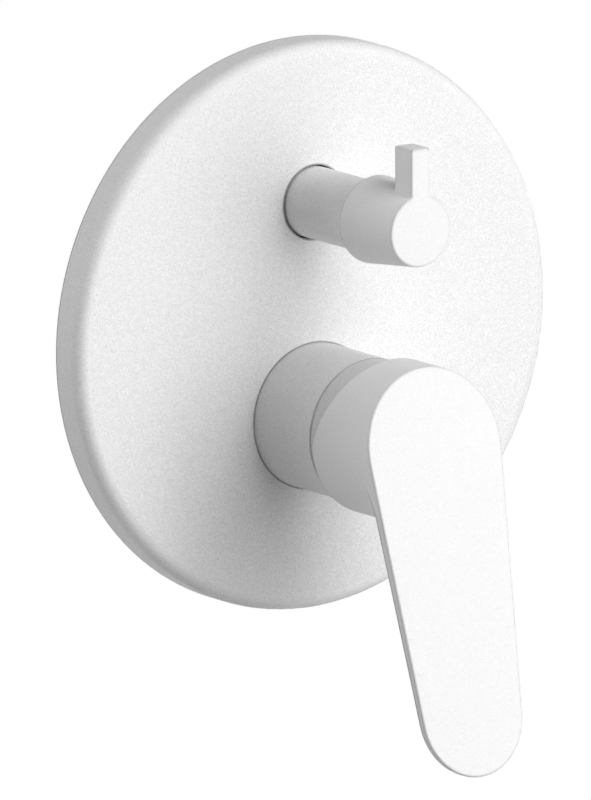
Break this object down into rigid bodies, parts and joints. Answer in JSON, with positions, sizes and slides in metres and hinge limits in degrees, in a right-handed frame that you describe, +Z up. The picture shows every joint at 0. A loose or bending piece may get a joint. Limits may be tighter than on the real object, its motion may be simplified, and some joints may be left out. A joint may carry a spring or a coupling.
{
  "type": "shower mixer",
  "caption": "Wall-mounted single-lever shower mixer: round plate, sleeved lever that tilts for flow and turns for warmth, and a conical diverter knob with an upright pin.",
  "frame": {"origin": "middle of the wall plate in the plane of the finished wall, which is also the middle of the flange's fixing holes", "axes": "+Y into the wall, +Z up, +X to the right for someone who faces the mixer"},
  "size_m": [0.18, 0.1444, 0.2174],
  "materials": {
    "white_coat": "matt",
    "brass": "machined",
    "rubber": "matt",
    "foam_seal": "matt",
    "cartridge_plastic": "satin",
    "white_plastic": "matt",
    "ceramic": "polished",
    "steel": "brushed"
  },
  "bodies": {
    "mixer": {"function_block": "brass", "escutcheon": "white_coat", "rim_seal": "foam_seal", "nipple_seals": "rubber", "hot_nipple": "brass", "cold_nipple": "brass", "left_outlet_nipple": "brass", "right_outlet_nipple": "brass", "mixer_sleeve": "white_coat", "mixer_sleeve_o_ring": "rubber", "diverter_sleeve": "white_coat", "diverter_sleeve_o_ring": "rubber", "cartridge_base": "cartridge_plastic", "base_seals": "rubber", "fixed_disc": "ceramic", "cartridge_housing": "cartridge_plastic", "cartridge_nut": "brass", "dome_cap": "white_coat", "diverter_housing": "brass", "diverter_seat_seal": "rubber", "diverter_fixed_disc": "ceramic"},
    "swivel": {"lever_guide": "cartridge_plastic", "lever_pin": "steel"},
    "lever": {"handle": "white_coat", "lever_stem": "steel", "handle_screw": "steel", "screw_plug": "white_plastic"},
    "disc": {"disc_carrier": "cartridge_plastic", "moving_disc": "ceramic"},
    "diverter": {"diverter_knob": "white_coat", "diverter_spindle": "brass", "diverter_moving_disc": "ceramic", "spindle_o_ring": "rubber", "spindle_clip": "steel", "knob_screw": "steel"}
  },
  "joints": [
    {"name": "temperature", "type": "hinge", "parent": "mixer", "child": "swivel", "pos_m": [0, -0.0453, -0.0282], "axis": [0, -1, 0], "range_deg": [-45, 45]},
    {"name": "flow", "type": "hinge", "parent": "swivel", "child": "lever", "pos_m": [0, -0.0453, -0.0282], "axis": [-1, 0, 0], "range_deg": [0, 20]},
    {"name": "disc_slide", "type": "slide", "parent": "swivel", "child": "disc", "axis": [0, 0, 1], "range_m": [-0.0051, 0]},
    {"name": "diverter_turn", "type": "hinge", "parent": "mixer", "child": "diverter", "pos_m": [0, -0.0453, 0.0395], "axis": [0, -1, 0], "range_deg": [-45, 45]}
  ],
  "couplings": [
    {"joint": "disc_slide", "follows": "flow", "m_per_rad": -0.014427}
  ]
}
